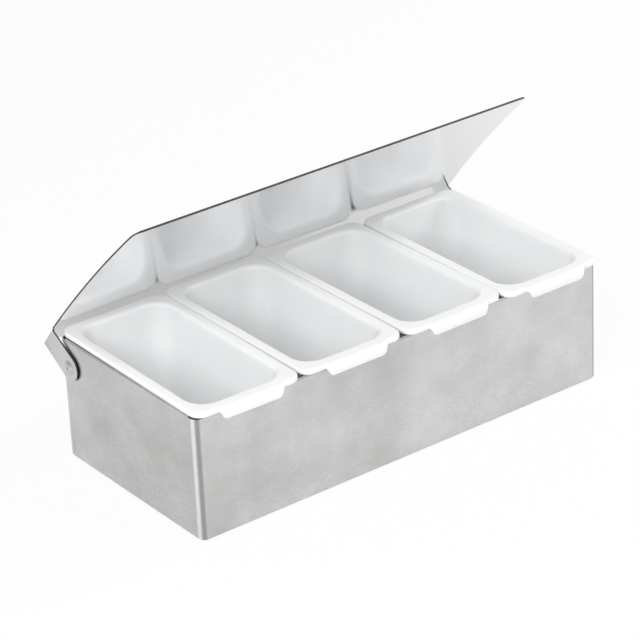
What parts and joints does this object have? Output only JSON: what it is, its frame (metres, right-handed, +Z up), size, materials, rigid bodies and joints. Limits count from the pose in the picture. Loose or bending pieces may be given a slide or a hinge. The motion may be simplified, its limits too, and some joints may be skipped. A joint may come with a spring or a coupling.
{
  "type": "condiment box",
  "caption": "Rectangular steel condiment box with a crowned hinged lid, standing half open, over a row of white drop-in plastic tubs with finger lips.",
  "frame": {"origin": "middle of the steel box's flat underside, where it stands", "axes": "+X along the box's length, +Y to the rear where the lid is hinged, +Z up"},
  "size_m": [0.3112, 0.1644, 0.1763],
  "materials": {
    "box_steel": "satin, faintly mottled",
    "lid_steel": "polished on the underside, satin outside",
    "rivet_steel": "satin",
    "tub_plastic": "white, soft sheen"
  },
  "bodies": {
    "base": {"box_shell": "box_steel", "tub_1": "tub_plastic", "tub_2": "tub_plastic", "tub_3": "tub_plastic", "tub_4": "tub_plastic", "rivet_left": "rivet_steel", "rivet_right": "rivet_steel"},
    "lid": {"lid": "lid_steel"}
  },
  "joints": [
    {"name": "lid_hinge", "type": "hinge", "parent": "base", "child": "lid", "pos_m": [0, 0.0595, 0.064], "axis": [-1, 0, 0], "range_deg": [-47.7, 80]}
  ]
}
